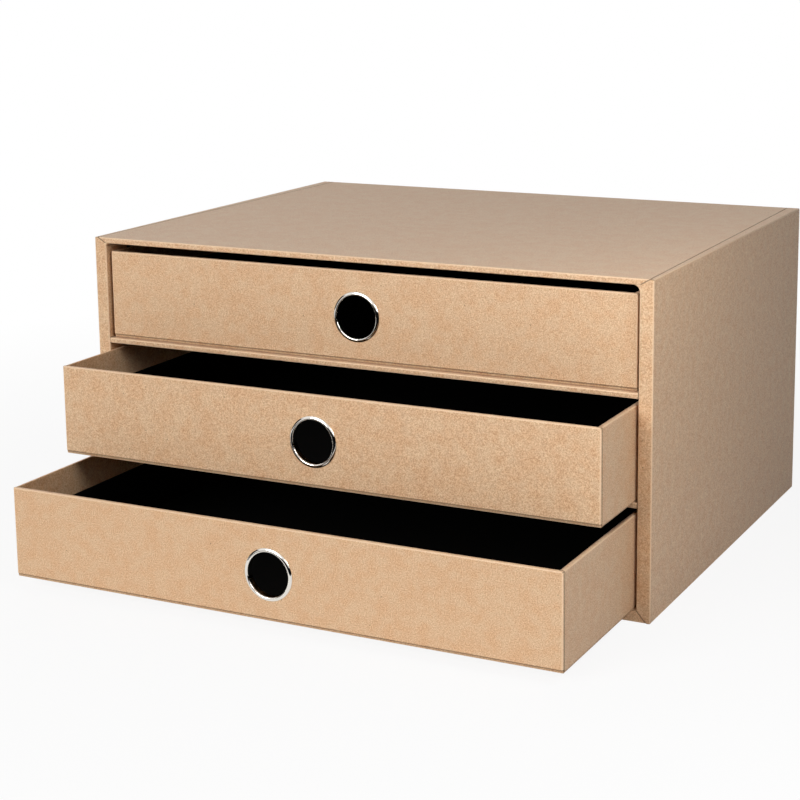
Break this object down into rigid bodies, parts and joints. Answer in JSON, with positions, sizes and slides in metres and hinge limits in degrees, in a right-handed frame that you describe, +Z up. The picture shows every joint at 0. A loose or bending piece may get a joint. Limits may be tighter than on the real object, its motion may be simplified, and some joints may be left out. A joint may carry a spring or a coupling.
{
  "type": "file box with drawers",
  "caption": "Low, wide desk file box of kraft-covered board whose stacked drawers slide out on shelves and are pulled by round metal eyelet finger holes.",
  "frame": {"origin": "centre of the casing's base, on the surface that it stands on", "axes": "+Z up, the drawers open towards -Y, +X to the right of someone facing the drawers' backs from the front"},
  "size_m": [0.336, 0.3555, 0.1775],
  "materials": {
    "kraft_paper": "uncoated brown kraft paper with fine fibre specks, matt",
    "greyboard": "plain recycled greyboard, matt",
    "black_liner": "black uncoated paper, matt",
    "nickel": "bright nickel-plated steel"
  },
  "bodies": {
    "casing": {"case_bottom_board": "greyboard", "case_floor_pad": "greyboard", "case_top_board": "greyboard", "case_back_board": "greyboard", "case_left_board": "greyboard", "case_right_board": "greyboard", "lower_left_spacer": "greyboard", "lower_right_spacer": "greyboard", "middle_left_spacer": "greyboard", "middle_right_spacer": "greyboard", "upper_left_spacer": "greyboard", "upper_right_spacer": "greyboard", "lower_shelf_board": "greyboard", "upper_shelf_board": "greyboard", "case_left_paper": "kraft_paper", "case_right_paper": "kraft_paper", "case_top_paper": "kraft_paper", "case_bottom_paper": "kraft_paper", "case_back_paper": "kraft_paper", "lower_shelf_paper": "kraft_paper", "upper_shelf_paper": "kraft_paper"},
    "top_drawer": {"top_drawer_floor_board": "greyboard", "top_drawer_left_board": "greyboard", "top_drawer_right_board": "greyboard", "top_drawer_rear_board": "greyboard", "top_drawer_lining": "black_liner", "top_drawer_front_board": "greyboard", "top_drawer_front_paper": "kraft_paper", "top_drawer_wall_paper": "kraft_paper", "top_drawer_base_paper": "kraft_paper", "top_drawer_eyelet": "nickel", "top_drawer_eyelet_washer": "nickel"},
    "middle_drawer": {"middle_drawer_floor_board": "greyboard", "middle_drawer_left_board": "greyboard", "middle_drawer_right_board": "greyboard", "middle_drawer_rear_board": "greyboard", "middle_drawer_lining": "black_liner", "middle_drawer_front_board": "greyboard", "middle_drawer_front_paper": "kraft_paper", "middle_drawer_wall_paper": "kraft_paper", "middle_drawer_base_paper": "kraft_paper", "middle_drawer_eyelet": "nickel", "middle_drawer_eyelet_washer": "nickel"},
    "bottom_drawer": {"bottom_drawer_floor_board": "greyboard", "bottom_drawer_left_board": "greyboard", "bottom_drawer_right_board": "greyboard", "bottom_drawer_rear_board": "greyboard", "bottom_drawer_lining": "black_liner", "bottom_drawer_front_board": "greyboard", "bottom_drawer_front_paper": "kraft_paper", "bottom_drawer_wall_paper": "kraft_paper", "bottom_drawer_base_paper": "kraft_paper", "bottom_drawer_eyelet": "nickel", "bottom_drawer_eyelet_washer": "nickel"}
  },
  "joints": [
    {"name": "top_drawer_slide", "type": "slide", "parent": "casing", "child": "top_drawer", "axis": [0, -1, 0], "range_m": [0, 0.2]},
    {"name": "middle_drawer_slide", "type": "slide", "parent": "casing", "child": "middle_drawer", "axis": [0, -1, 0], "range_m": [-0.0484, 0.1516]},
    {"name": "bottom_drawer_slide", "type": "slide", "parent": "casing", "child": "bottom_drawer", "axis": [0, -1, 0], "range_m": [-0.095, 0.105]}
  ]
}
